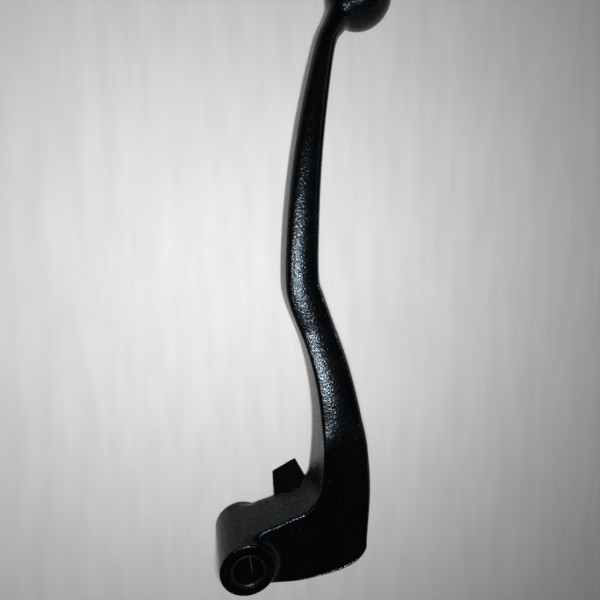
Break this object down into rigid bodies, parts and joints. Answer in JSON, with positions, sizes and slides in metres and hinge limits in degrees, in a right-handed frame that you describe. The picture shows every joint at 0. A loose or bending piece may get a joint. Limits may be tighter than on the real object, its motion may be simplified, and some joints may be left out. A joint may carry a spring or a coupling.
{
  "type": "motorcycle clutch lever",
  "caption": "Cast ball-end clutch lever with a crooked blade, a pivot eye with a loose collar, a cable nipple seat and a switch lug.",
  "frame": {"origin": "pivot axis at the lower end of the pivot collar", "axes": "+Z along the pivot axis towards the top of the lever, +Y from the pivot along the blade to the ball end, +X forward, away from the handlebar grip"},
  "size_m": [0.0505, 0.1728, 0.0373],
  "materials": {
    "lever_coat": "semi-gloss fine-textured black powder coat on die-cast aluminium",
    "collar_steel": "blackened rolled steel"
  },
  "bodies": {
    "lever": {"lever_casting": "lever_coat"},
    "collar": {"pivot_collar": "collar_steel"}
  },
  "joints": [
    {"name": "collar_spin", "type": "hinge", "parent": "lever", "child": "collar", "pos_m": [0, 0, 0.0105], "axis": [0, 0, 1], "continuous": true}
  ]
}
